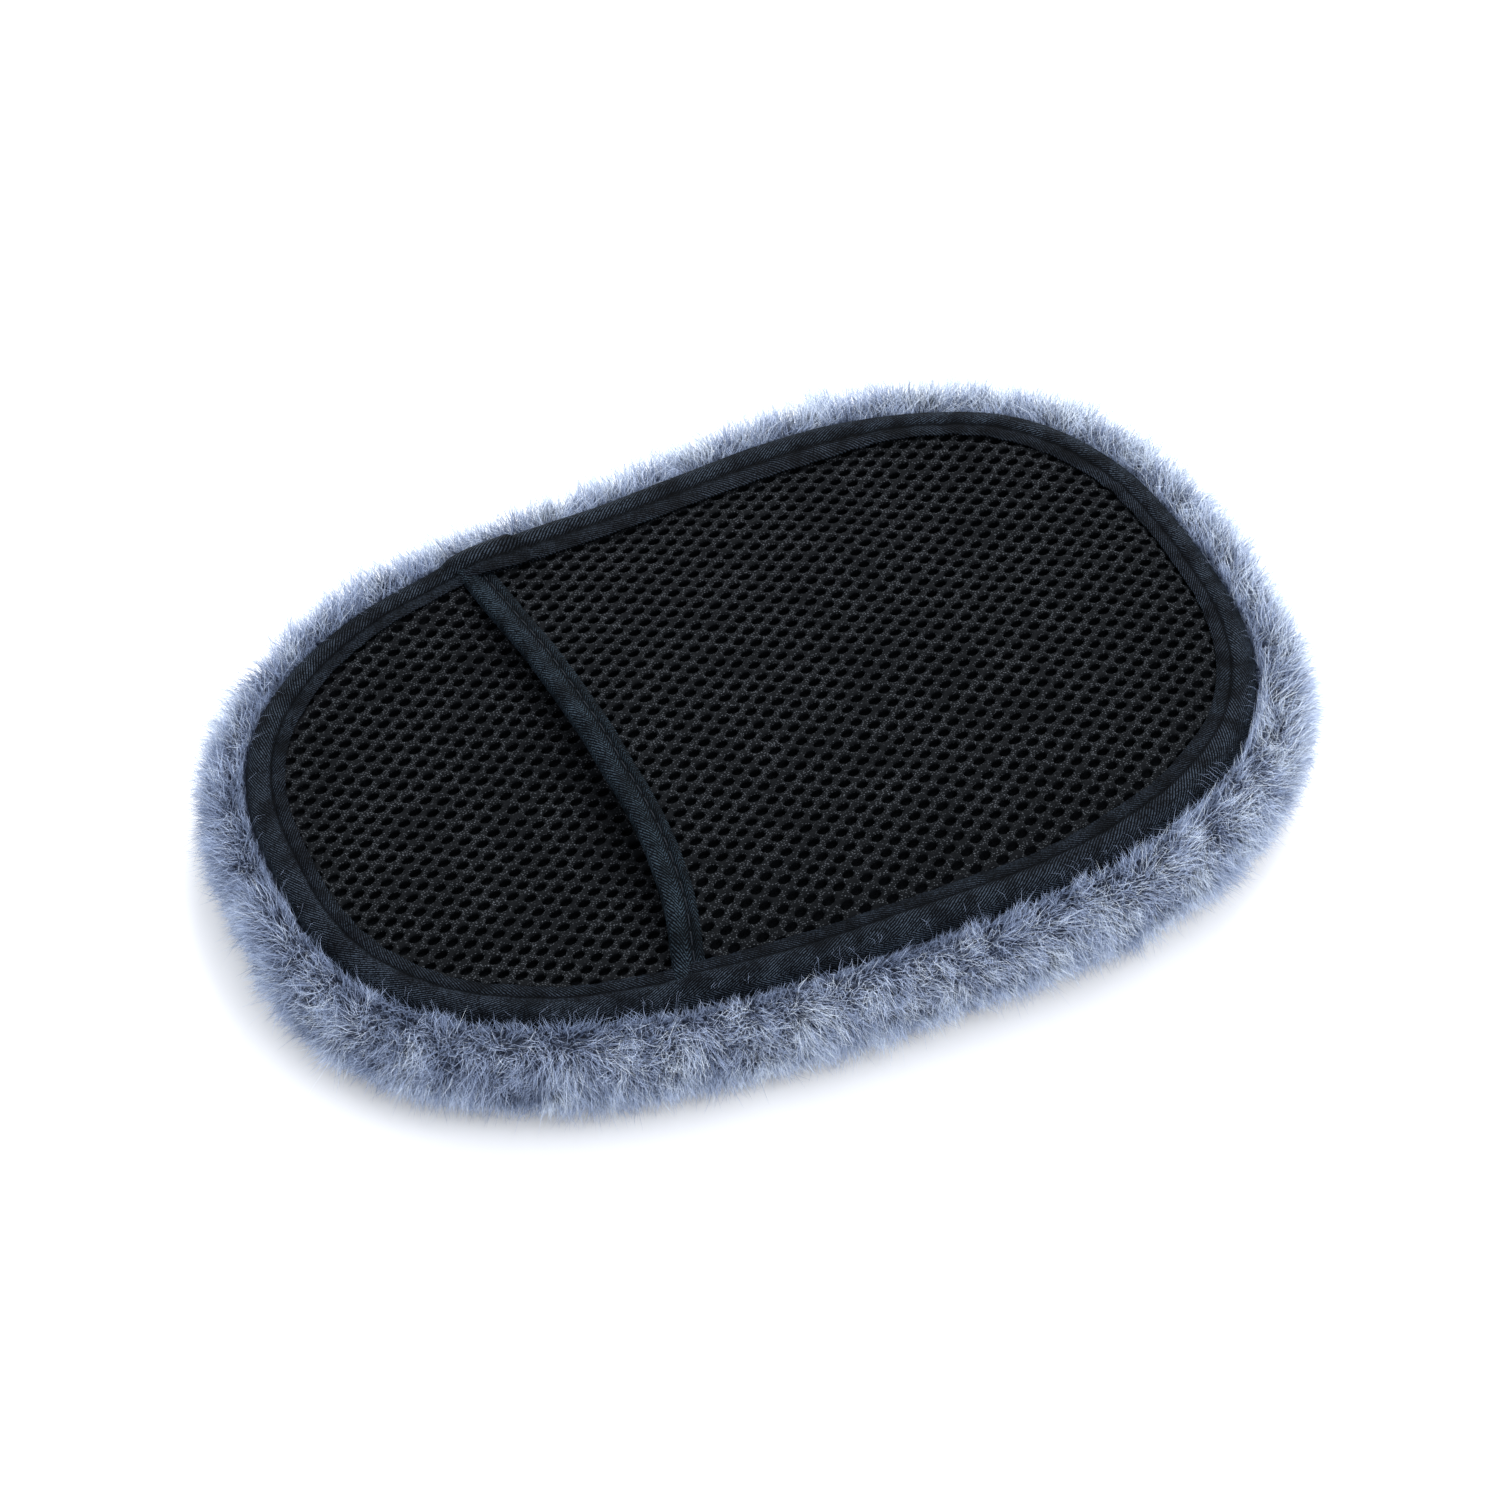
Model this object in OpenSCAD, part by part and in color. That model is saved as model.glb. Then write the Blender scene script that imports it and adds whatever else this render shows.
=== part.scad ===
// Sheepskin wash mitt: an oval wool pad with a spacer-mesh back and a hand pocket, bound with tape.
// The length runs along X, with the closed end of the pocket at +X and the wrist end at -X.
// The wool rests on z = 0, and the origin is the middle of its footprint.

/* [Pad outline] */
// Length of the sewn pad over its binding
pad_l = 236; // [180:1:280]
// Width of the sewn pad over its binding
pad_w = 152; // [115:1:176]
// How square the oval is: 2 is an ellipse
pad_power = 2.7; // [2.2:0.1:3.4]
// Share by which the closed end is wider than the wrist end
pad_egg = 0.06; // [0:0.01:0.08]

/* [Wool] */
// Height of the pile from the ground to the hide
pile_h = 26; // [18:1:34]
// How far the pile stands out beyond the binding
pile_over = 13.5; // [8:0.5:20]
// How far in from its widest line the pile is rounded, above and below
pile_round = 16.5; // [11:0.5:22]

/* [Layers] */
// Thickness of the sheepskin's hide
hide_t = 1.5; // [1:0.1:2.5]
// Thickness of the spacer mesh
mesh_t = 2.5; // [1.8:0.1:4]
// Thickness of the pocket's mesh where it is pressed into the edge seam
seam_t = 1.6; // [1:0.1:2.4]

/* [Edge binding] */
// Thickness of the binding tape
tape_t = 0.7; // [0.5:0.1:1]
// Thickness of the tape's rolled outer fold
fold_t = 1.2; // [1:0.1:1.6]
// Radius of the outer fold
fold_r = 1.8; // [1.4:0.1:2.2]
// Width of the tape on top of the pad
lip_w = 8.2; // [7:0.1:11]
// How far the tape under the pad reaches in past the seam
under_in = 2; // [1.5:0.1:3]
// Where the tape's two ends lap, along the pad
lap_x = -31; // [-60:1:60]
// Length of the lap
lap_l = 12; // [8:1:20]

/* [Pocket] */
// Distance from the wrist end of the pad to the pocket's mouth
mouth_in = 71; // [55:1:90]
// Width of the tape on the pocket's mouth
mouth_w = 7.4; // [6:0.1:11]
// How far the middle of the mouth is scooped towards the closed end
mouth_scoop = 4.5; // [0:0.5:8]
// Rise of the pocket at the middle of its mouth
pocket_rise = 5.5; // [4.5:0.1:12]

/* [Stitching] */
// Thickness of the sewing thread
thread_d = 0.4; // [0.3:0.05:0.6]
// Length of one stitch on the surface
stitch_l = 3.2; // [2.4:0.1:4.2]
// Gap between one stitch and the next
stitch_gap = 0.8; // [0.5:0.1:1.2]
// Distance of the seam from the tape's inner edge
seam_in = 3; // [2:0.1:4]

/* [Clearances] */
// Gap round a layer inside the binding
fit = 0.05; // [0.02:0.01:0.1]
// Gap between the pocket and what it lies on
rest_gap = 0.3; // [0.2:0.05:0.6]
// Gap between the pocket's edge and the binding
swing_gap = 0.9; // [0.7:0.1:1.4]

/* [Hidden] */
eps = 0.01;
far = pad_l + pad_w + 2 * pile_over; // longer than anything here

// Heights of the layers
hide_z = pile_h;
base_z = hide_z + hide_t;
base_top = base_z + mesh_t;
seam_top = base_top + seam_t;
tape_top = seam_top + tape_t;
tape_low = hide_z - tape_t;
thread_r = thread_d / 2;

// Places of the seams and of the pocket's mouth and closed end
seam_inset = lip_w - seam_in;
under_w = seam_inset + under_in;
mouth_x = mouth_in - pad_l / 2;
lip_x = mouth_x + mouth_w;
panel_inset = lip_w + swing_gap;
blunt_end = 0.985; // where the tip of the pocket's oval is cut straight for the hinge line
end_x = (pad_l / 2 - panel_inset) * blunt_end;
panel_z = base_top + rest_gap + thread_d + tape_t + fit; // lowest part of the pocket's mesh

// Fineness of the outlines and of the soft surfaces
oval_points = 96;
pile_points = 72;
pile_rings = 11;
fold_step = 22.5; // degrees of the outer fold to each ring
panel_rows = 14;
panel_columns = 28;
pile_power = 2.6; // how square the pile's edge is, seen from the end
crown_power = 2.6; // how flat the pocket is across its middle
track_points = 360; // steps along which the edge seam is measured

// The pad's outline, moved in by an inset, at an angle
function oval_point(inset, angle) =
    let (x = (pad_l / 2 - inset) * swell(cos(angle)))
    [x, (pad_w / 2 - inset) * egg(x) * swell(sin(angle))];
function swell(a) = sign(a) * pow(abs(a), 2 / pad_power);
function egg(x) = 1 + pad_egg * x / (pad_l / 2);
function oval(inset, count = oval_points) = [for (i = [0 : count - 1]) oval_point(inset, 360 * i / count)];
function half_width(x, inset) =
    (pad_w / 2 - inset) * egg(x) * pow(max(0, 1 - pow(abs(x) / (pad_l / 2 - inset), pad_power)), 1 / pad_power);
function at_height(outline, z) = [for (p = outline) [p[0], p[1], z]];

// The pile's inset from the pad's outline at a height
function pile_inset(z) =
    let (from_middle = abs(2 * z / base_top - 1))
    -pile_over + pile_round * (1 - pow(max(0, 1 - pow(from_middle, pile_power)), 1 / pile_power));

// The edge seam, as [length so far, angle] at each step round the pad
function track_length(k) = k == 0 ? [0] :
    let (before = track_length(k - 1))
    concat(before, before[k - 1] + norm(track_point(k) - track_point(k - 1)));
function track_point(k) = oval_point(seam_inset, 360 * k / track_points);
track = track_length(track_points);
seam_track = [for (k = [0 : track_points]) [track[k], 360 * k / track_points]];
stitch_count = round(track[track_points] / (stitch_l + stitch_gap));

// The pocket: rows run from the mouth to the closed end, and v runs from -1 to 1 across it
function row_x(k) = k == 0 ? mouth_x : lip_x + (end_x - lip_x) * sin(90 * (k - 1) / (panel_rows - 1));
function row_scoop(k) = k < 2 ? mouth_scoop : mouth_scoop * (1 - (k - 1) / (panel_rows - 1));
function rise(x, v) =
    pocket_rise * (1 - pow((x - mouth_x) / (end_x - mouth_x), 2)) * (1 - pow(abs(v), crown_power));
function panel_point(k, v, up) =
    [row_x(k) + row_scoop(k) * (1 - v * v), v * half_width(row_x(k), panel_inset), panel_z + rise(row_x(k), v) + up];
function panel_grid(up) =
    [for (k = [0 : panel_rows]) [for (j = [0 : panel_columns]) panel_point(k, 2 * j / panel_columns - 1, up)]];

// A point on the mouth's tape: s runs back from the mouth's edge, and up is above the mesh's lower face
function mouth_point(s, v, up) =
    let (share = max(0, s) / mouth_w, front = panel_point(0, v, up), back = panel_point(1, v, up),
         along = (back - front) / norm([back[0] - front[0], back[1] - front[1]]))
    [front[0] + s * along[0], front[1] + s * along[1], front[2] * (1 - share) + back[2] * share];
function tape_section(v) = [
    mouth_point(-tape_t - fit, v, mesh_t + tape_t + fit), mouth_point(mouth_w, v, mesh_t + tape_t + fit),
    mouth_point(mouth_w, v, mesh_t + fit), mouth_point(-fit, v, mesh_t + fit),
    mouth_point(-fit, v, -fit), mouth_point(mouth_w, v, -fit),
    mouth_point(mouth_w, v, -tape_t - fit), mouth_point(-tape_t - fit, v, -tape_t - fit)
];
mouth_half = half_width(mouth_x, panel_inset);
mouth_stitches = floor((2 * mouth_half - stitch_l) / (stitch_l + stitch_gap));

// A closed solid through a list of rings of points, each with as many points as the next
module loft(rings) {
    n = len(rings[0]);
    last = (len(rings) - 1) * n;
    sides = [for (j = [0 : len(rings) - 2], i = [0 : n - 1])
        let (a = j * n + i, b = j * n + (i + 1) % n)
        each [[a, a + n, b + n], [a, b + n, b]]];
    caps = [[for (i = [0 : n - 1]) i], [for (i = [n - 1 : -1 : 0]) last + i]];
    polyhedron([for (ring = rings) each ring], concat(sides, caps));
}

// A closed solid between two grids of points, one above the other
module blanket(top, bottom) {
    rows = len(top);
    columns = len(top[0]);
    low = rows * columns;
    function t(k, j) = k * columns + j;
    function quad(a, b, c, d) = [[a, b, c], [a, c, d]];
    faces = concat(
        [for (k = [0 : rows - 2], j = [0 : columns - 2]) each quad(t(k, j), t(k, j + 1), t(k + 1, j + 1), t(k + 1, j))],
        [for (k = [0 : rows - 2], j = [0 : columns - 2])
            each quad(low + t(k + 1, j), low + t(k + 1, j + 1), low + t(k, j + 1), low + t(k, j))],
        [for (j = [0 : columns - 2]) each quad(t(0, j + 1), t(0, j), low + t(0, j), low + t(0, j + 1))],
        [for (j = [0 : columns - 2])
            each quad(t(rows - 1, j), t(rows - 1, j + 1), low + t(rows - 1, j + 1), low + t(rows - 1, j))],
        [for (k = [0 : rows - 2]) each quad(t(k, 0), t(k + 1, 0), low + t(k + 1, 0), low + t(k, 0))],
        [for (k = [0 : rows - 2])
            each quad(t(k + 1, columns - 1), t(k, columns - 1), low + t(k, columns - 1), low + t(k + 1, columns - 1))]
    );
    polyhedron([for (grid = [top, bottom]) for (row = grid) each row], faces);
}

module plate(inset, z0, z1) {
    translate([0, 0, z0]) linear_extrude(z1 - z0) polygon(oval(inset));
}

// The space round the pad on the wrist side of the pocket's mouth
module wrist_side() {
    translate([mouth_x - far, -far, -far]) cube([far, 2 * far, 2 * far]);
}

// One stitch from point a to point b
module stitch(a, b) {
    run = b - a;
    middle = (a + b) / 2;
    translate(middle) rotate([0, -asin(run[2] / norm(run)), atan2(run[1], run[0])]) rotate([0, 90, 0])
        cylinder(h = stitch_l, r = thread_r, center = true, $fn = 8);
}

module wool_pile() {
    color("lightsteelblue") difference() {
        loft([for (k = [0 : pile_rings])
            let (z = base_top * (1 - cos(180 * k / pile_rings)) / 2)
            at_height(oval(pile_inset(z), pile_points), z)]);
        plate(-tape_t - fit, hide_z, far);
        difference() {
            plate(-tape_t - fit, tape_low - tape_t - thread_d - fit, hide_z + eps);
            plate(under_w + rest_gap, 0, far);
        }
    }
}

module sheepskin_hide() {
    color("wheat") plate(fold_t + fit, hide_z, base_z);
}

module base_mesh() {
    color([0.10, 0.11, 0.14]) plate(fold_t + fit, base_z, base_top);
}

// The edge of the pocket's mesh that is sewn in under the binding
module pocket_seam() {
    color([0.12, 0.13, 0.17]) difference() {
        plate(fold_t + fit, base_top, seam_top);
        plate(lip_w, base_top - eps, far);
        wrist_side();
    }
}

// The outside of the binding's fold, all across the pad, grown by a thickness
module fold_body(grow) {
    radius = fold_r + grow;
    loft(concat(
        [for (angle = [-90 : fold_step : 0])
            at_height(oval(fold_r - radius * cos(angle)), tape_low + fold_r + radius * sin(angle))],
        [for (angle = [0 : fold_step : 90])
            at_height(oval(fold_r - radius * cos(angle)), tape_top - fold_r + radius * sin(angle))]
    ));
}

module edge_tape() {
    color([0.10, 0.13, 0.18]) difference() {
        union() {
            fold_body(0);
            intersection() {
                fold_body(tape_t);
                translate([lap_x - lap_l / 2, 0, 0]) cube([lap_l, far, far]);
            }
        }
        plate(fold_t, hide_z, base_top);
        difference() {
            plate(fold_t, base_top - eps, seam_top);
            wrist_side();
        }
        plate(lip_w, base_top - eps, far);
        plate(under_w, 0, hide_z + eps);
    }
}

// The stitches of the edge seam at one height; away is 1 above the pad and -1 below it
module edge_stitches(z, away) {
    for (k = [0 : stitch_count - 1]) {
        angle = lookup((k + 0.5) * track[track_points] / stitch_count, seam_track);
        at = oval_point(seam_inset, angle);
        ahead = oval_point(seam_inset, angle + 0.5);
        on_lap = at[1] > 0 && abs(at[0] - lap_x) < (lap_l + stitch_l) / 2;
        level = z + away * (thread_r + (on_lap ? tape_t : 0));
        run = (ahead - at) / norm(ahead - at) * stitch_l / 2;
        stitch([at[0] - run[0], at[1] - run[1], level], [at[0] + run[0], at[1] + run[1], level]);
    }
}

module edge_needle_thread() {
    color([0.05, 0.06, 0.08]) edge_stitches(tape_top, 1);
}

module edge_bobbin_thread() {
    color([0.05, 0.06, 0.08]) edge_stitches(tape_low, -1);
}

module pocket_panel() {
    color([0.12, 0.13, 0.17]) blanket(panel_grid(mesh_t), panel_grid(0));
}

module mouth_tape() {
    color([0.11, 0.15, 0.20]) loft([for (j = [0 : panel_columns]) tape_section(2 * j / panel_columns - 1)]);
}

// The stitches of the mouth's seam, at a distance above the mesh's lower face
module mouth_stitches(up) {
    reach = stitch_l / 2 / mouth_half;
    for (k = [0 : mouth_stitches]) {
        v = (k - mouth_stitches / 2) * (stitch_l + stitch_gap) / mouth_half;
        stitch(mouth_point(mouth_w - seam_in, v - reach, up), mouth_point(mouth_w - seam_in, v + reach, up));
    }
}

module mouth_needle_thread() {
    color([0.05, 0.06, 0.08]) mouth_stitches(mesh_t + fit + tape_t + thread_r);
}

module mouth_bobbin_thread() {
    color([0.05, 0.06, 0.08]) mouth_stitches(-fit - tape_t - thread_r);
}

wool_pile();
sheepskin_hide();
base_mesh();
pocket_seam();
edge_tape();
edge_needle_thread();
edge_bobbin_thread();
pocket_panel();
mouth_tape();
mouth_needle_thread();
mouth_bobbin_thread();
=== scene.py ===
import math
import bmesh
import bpy
import numpy as np
from mathutils import Matrix, Vector
from mathutils.kdtree import KDTree


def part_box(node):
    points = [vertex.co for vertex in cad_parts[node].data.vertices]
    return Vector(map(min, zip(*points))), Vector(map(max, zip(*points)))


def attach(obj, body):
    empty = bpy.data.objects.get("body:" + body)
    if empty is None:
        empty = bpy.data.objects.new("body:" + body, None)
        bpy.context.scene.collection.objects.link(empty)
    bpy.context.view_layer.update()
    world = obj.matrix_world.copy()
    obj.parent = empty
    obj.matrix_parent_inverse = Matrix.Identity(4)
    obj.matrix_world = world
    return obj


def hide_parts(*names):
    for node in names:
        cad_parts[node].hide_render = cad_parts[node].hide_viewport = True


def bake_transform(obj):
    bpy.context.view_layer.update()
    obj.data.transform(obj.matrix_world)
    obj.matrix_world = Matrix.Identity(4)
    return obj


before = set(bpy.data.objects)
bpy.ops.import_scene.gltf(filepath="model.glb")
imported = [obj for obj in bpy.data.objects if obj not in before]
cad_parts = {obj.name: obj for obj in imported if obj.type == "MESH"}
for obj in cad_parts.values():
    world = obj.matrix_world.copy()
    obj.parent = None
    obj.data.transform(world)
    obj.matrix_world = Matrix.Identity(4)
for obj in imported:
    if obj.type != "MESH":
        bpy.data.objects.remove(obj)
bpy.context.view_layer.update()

mm = 0.001
print("frame loaded")

# places taken from the frame
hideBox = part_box("sheepskin_hide")
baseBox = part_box("base_mesh")
pad = dict(
    hideInset=1.25 * mm,  # how far the hide's edge lies inside the outside of the binding
    power=2.7,  # how square the oval is, as in the frame
    egg=0.06,  # how much wider the closed end is
    # how much the far side is drawn in, the x of the middle of that, and over what length
    flatter=0.04, flatX=-5 * mm, flatOver=34 * mm,
    # how much wider the binding is on the far side, and the x values between which that comes and goes
    wider=3.0 * mm, widerFrom=(-52 * mm, -28 * mm), widerTo=(80 * mm, 45 * mm),
    lip=8.2 * mm,  # width of the binding on top
    seam=5.2 * mm,  # inset of the edge seam
    rimRise=0.7 * mm,  # how far the far rim stands up
    waves=[(11, 0.55 * mm, 70 * mm), (12, 0.2 * mm, 26 * mm)],  # seed, height and length
)
pad["length"] = hideBox[1].x + pad["hideInset"]
pad["width"] = hideBox[1].y + pad["hideInset"]
pad["back"] = baseBox[1].z  # top of the mesh that lies on the hide
mouth = dict(
    x=-41.8 * mm,  # foremost point of the mouth's edge
    peakY=-20 * mm,  # where that point and the pocket's highest point are
    curveFar=0.65,  # how fast the edge falls back on the far side, per metre
    curveNear=3.8,
    width=7.4 * mm,
    seam=2.4 * mm,  # from the seam to the tape's edge
    fold=1.9 * mm,  # half the thickness of the tape's fold
    square=0.8,  # how square the tape's fold is
    inTape=2.4 * mm,  # from the mouth's edge to where the cloth ends inside the tape
    # the pocket's top above the mesh below: under the binding, more beside it, more again at its crown
    above=1.65 * mm, beside=0.95 * mm, crown=5.6 * mm,
    crownSide=2.4,  # how square the crown is from side to side
    crownWave=(21, 0.35 * mm, 38 * mm),
)
mouth["front"] = mouth["fold"] * math.pi * 0.8  # length round the fold
mouth["tape"] = 2 * (mouth["width"] - mouth["fold"]) + mouth["front"]
mouth["half"] = pad["width"] - 7 * mm  # length of the tape from the middle to one side


def egged(x, y):
    drawnIn = pad["flatter"] * np.exp(-((x - pad["flatX"]) / pad["flatOver"]) ** 2) * (y > 0)
    return 1 + pad["egg"] * x / pad["length"] - drawnIn


def outline(angle, inset):
    # a point of the pad's oval, moved in by an inset, at an angle
    c, s = np.cos(angle), np.sin(angle)
    x = (pad["length"] - inset) * np.sign(c) * np.abs(c) ** (2 / pad["power"])
    y = (pad["width"] - inset) * egged(x, s) * np.sign(s) * np.abs(s) ** (2 / pad["power"])
    return x, y


def insetOf(x, y):
    # how far inside the binding's outside a point is, negative outside it
    low, high = np.full(np.shape(x), -0.06), np.full(np.shape(x), pad["width"] - 0.002)
    for _ in range(18):
        middle = (low + high) / 2
        across = np.abs(x / (pad["length"] - middle)) ** pad["power"]
        across = across + np.abs(y / ((pad["width"] - middle) * egged(x, y))) ** pad["power"]
        low, high = np.where(across < 1, middle, low), np.where(across < 1, high, middle)
    return (low + high) / 2


def smooth(a, b, value):
    t = np.clip((value - a) / (b - a), 0, 1)
    return t * t * (3 - 2 * t)


def ripple(seed, wavelength, *place):
    # smooth seeded unevenness, about -1 to 1
    rng = np.random.default_rng(seed)
    total = 0
    for _ in range(7):
        way = rng.normal(size=len(place))
        way *= 2 * math.pi / (wavelength * rng.uniform(0.7, 1.6)) / np.linalg.norm(way)
        total = total + np.sin(sum(w * p for w, p in zip(way, place)) + rng.uniform(0, 6.28))
    return total / 3.2


def farSide(x, y):
    # where the binding is wider
    return smooth(*pad["widerFrom"], x) * smooth(*pad["widerTo"], x) * (y > 0)


def lipAt(x, y):
    # the binding's width on top
    return pad["lip"] + pad["wider"] * farSide(x, y)


def lie(x, y):
    # how the sewn layers rise and fall from flat: the far rim stands up a little
    rim = 1 - smooth(2 * mm, 22 * mm, insetOf(x, y))
    far = smooth(-10 * mm, 60 * mm, y)
    rise = pad["rimRise"] * rim * far
    for seed, height, wavelength in pad["waves"]:
        rise = rise + height * ripple(seed, wavelength, x, y)
    return rise


def mouthEdge(y):
    # the x of the mouth's edge
    off = y - mouth["peakY"]
    return mouth["x"] - np.where(off > 0, mouth["curveFar"], mouth["curveNear"]) * off * off


def crown(x, y):
    # how high the pocket stands off the mesh below
    half = (pad["width"] - lipAt(x, y)) * egged(x, y)
    narrowing = np.maximum(1 - np.abs(x / (pad["length"] - pad["lip"])) ** pad["power"], 1e-4)
    half = half * narrowing ** (1 / pad["power"])
    v = np.clip(y / half, -1, 1)
    peak = mouth["peakY"] / pad["width"]
    v = (v - peak) / (1 - v * peak)
    along = np.clip((x - mouthEdge(y)) / (pad["length"] - pad["lip"] - mouth["x"]), -0.1, 1)
    seed, height, wavelength = mouth["crownWave"]
    gentle = height * ripple(seed, wavelength, x, y)
    shape = (1 - along ** 2) * (1 - np.abs(v) ** mouth["crownSide"])
    return np.maximum(shape, 0) * mouth["crown"] + gentle * np.minimum(3 * np.maximum(shape, 0), 1)


# meshes
def newObject(name, mesh):
    made = bpy.data.objects.new(name, mesh)
    bpy.context.scene.collection.objects.link(made)
    return made


def fromBmesh(name, bm, smoothShade=True):
    mesh = bpy.data.meshes.new(name)
    bm.to_mesh(mesh)
    bm.free()
    if smoothShade:
        mesh.shade_smooth()
    return newObject(name, mesh)


def vertsOf(made):
    return [g for g in made if isinstance(g, bmesh.types.BMVert)]


def edgesOf(made, ends):
    # the edges among what an operator made that join two of these ends
    return [g for g in made if isinstance(g, bmesh.types.BMEdge) and all(v in ends for v in g.verts)]


def applied(obj):
    # the modifiers' result becomes the object's own mesh
    graph = bpy.context.evaluated_depsgraph_get()
    graph.update()
    mesh = bpy.data.meshes.new_from_object(obj.evaluated_get(graph), depsgraph=graph)
    obj.modifiers.clear()
    obj.data = mesh
    return obj


def points(mesh):
    co = np.empty(len(mesh.vertices) * 3)
    mesh.vertices.foreach_get("co", co)
    return co.reshape(-1, 3)


def setPoints(mesh, co):
    mesh.vertices.foreach_set("co", np.ascontiguousarray(co).ravel())
    mesh.update()


def layUv(mesh, name, u, v):
    # a UV map from two numbers at each vertex
    uv = mesh.uv_layers.get(name) or mesh.uv_layers.new(name=name)
    corner = np.empty(len(mesh.loops), dtype=np.int32)
    mesh.loops.foreach_get("vertex_index", corner)
    uv.data.foreach_set("uv", np.stack([u[corner], v[corner]], 1).ravel())


# materials
class Wire:
    # one output socket, so that shader maths reads as Python
    def __init__(self, tree, socket=None):
        self.tree, self.socket = tree, socket

    def node(self, kind, settings=None, sockets=None, out=0):
        made = self.tree.nodes.new("ShaderNode" + kind)
        for key, value in (settings or {}).items():
            if key == "stops":
                ramp = made.color_ramp.elements
                while len(ramp) < len(value):
                    ramp.new(0.5)
                for stop, (place, colour) in zip(ramp, value):
                    stop.position, stop.color = place, (*colour, 1)
            else:
                setattr(made, key, value)
        for key, value in (sockets or {}).items():
            if isinstance(value, Wire):
                self.tree.links.new(value.socket, made.inputs[key])
            else:
                made.inputs[key].default_value = value
        return Wire(self.tree, made.outputs[out])

    def maths(self, operation, *terms):
        return self.node("Math", dict(operation=operation), dict(enumerate(terms)))

    def __add__(self, other):
        return self.maths("ADD", self, other)

    def __sub__(self, other):
        return self.maths("SUBTRACT", self, other)

    def __rsub__(self, other):
        return self.maths("SUBTRACT", other, self)

    def __mul__(self, other):
        return self.maths("MULTIPLY", self, other)

    def __pow__(self, other):
        return self.maths("POWER", self, other)

    __radd__, __rmul__ = __add__, __mul__

    def between(self, low, high):
        return self.node("MapRange", dict(interpolation_type="SMOOTHSTEP"),
                         {"Value": self, "From Min": low, "From Max": high})

    def mix(self, dark, light):
        # a colour from dark to light as this number goes from 0 to 1
        sockets = {"Factor": self}
        for key, colour in ((6, dark), (7, light)):
            sockets[key] = colour if isinstance(colour, Wire) else (*colour, 1)
        return self.node("Mix", dict(data_type="RGBA"), sockets, out=2)


def newMaterial(name, **settings):
    material = bpy.data.materials.new(name)
    material.use_nodes = True
    shader = material.node_tree.nodes["Principled BSDF"]
    for key, value in settings.items():
        shader.inputs[key.replace("_", " ")].default_value = value
    wire = Wire(material.node_tree)

    def feed(**wires):
        for key, value in wires.items():
            material.node_tree.links.new(value.socket, shader.inputs[key.replace("_", " ")])
    return material, wire, feed


def bumped(wire, height, distance, strength=1.0):
    return wire.node("Bump", None, {"Height": height, "Distance": distance, "Strength": strength})


def meshMaterial(name):
    material, w, feed = newMaterial(name, Roughness=0.6, Specular_IOR_Level=0.03)
    where = w.node("TexCoord", out=3)
    depth = w.node("Attribute", dict(attribute_name="depth"), out=2)
    knit = w.node("VectorMath", dict(operation="MULTIPLY"), {0: where, 1: (1350.0, 2350.0, 1700.0)})
    loops = w.node("TexVoronoi", dict(feature="F1"), {"Vector": knit, "Scale": 1.0, "Randomness": 0.7})
    fibres = w.node("TexNoise", None, {"Vector": where, "Scale": 3600.0, "Detail": 3.0, "Roughness": 0.7})
    patches = w.node("TexNoise", None, {"Vector": where, "Scale": 60.0, "Detail": 2.0})
    speck = (1 - loops * 1.25).between(0.5, 0.9) * (0.35 + 0.65 * fibres.between(0.35, 0.65))
    # painted shade: the cords are darker as they go down into the holes, and the back knit is darker too,
    # after the depth layer
    crest = 1 - depth.between(0.05, 0.45)
    tone = (0.02 + speck * 0.98) * crest * (0.6 + patches * 0.8)
    dark, light = (0.0004, 0.0007, 0.0012), (0.165, 0.182, 0.206)
    feed(Base_Color=tone.mix(dark, light),
         Roughness=0.72 - speck * 0.25,
         Normal=bumped(w, speck + fibres * 0.3, 0.4 * mm, 1.0))
    return material


def tapeMaterial(name, period, start, pitch, lean, seam, side, dark, light):
    # herringbone webbing: along is u and across is v, both in metres, and a chevron turns at start;
    # it has painted shade in the seam's groove, and is darker beyond it on the side away from the fold
    material, w, feed = newMaterial(name, Roughness=0.55, Specular_IOR_Level=0.025)
    uv = w.node("UVMap", dict(uv_map="weave"))
    along = w.node("SeparateXYZ", None, {0: uv}, out=0)
    across = w.node("SeparateXYZ", None, {0: uv}, out=1)
    zigzag = w.maths("PINGPONG", across + (period - start), period)
    loose = w.node("TexNoise", None, {"Vector": w.node("TexCoord", out=3), "Scale": 900.0, "Detail": 1.0})
    twill = w.maths("SINE", (zigzag * lean + along + loose * 0.35 * mm) * (2 * math.pi / pitch))
    yarns = w.maths("SINE", along * (2 * math.pi / (pitch * 0.42)))
    fuzz = w.node("TexNoise", None, {"Vector": w.node("TexCoord", out=3), "Scale": 2600.0, "Detail": 3.0})
    wear = w.node("TexNoise", None, {"Vector": w.node("TexCoord", out=3), "Scale": 150.0, "Detail": 3.0})
    raised = (twill * 0.5 + 0.5) ** 1.9 * (0.8 + yarns * 0.2)
    fromSeam = w.maths("ABSOLUTE", across - seam)
    # painted shade in the seam's groove
    grooveShade = fromSeam.between(0.15 * mm, 0.9 * mm) * 0.7 + 0.3
    inner = 0.62 + 0.38 * (across * side).between(seam * side, (seam + side * 1.2 * mm) * side)
    tone = raised * (0.1 + fuzz.between(0.35, 0.65) * 1.2) * (0.35 + wear.between(0.3, 0.7) * 1.1)
    tone = tone * grooveShade * inner
    feed(Base_Color=tone.mix(dark, light),
         Roughness=0.68 - raised * 0.2,
         Normal=bumped(w, raised + fuzz * 0.35, 0.12 * mm, 0.8))
    return material


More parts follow.
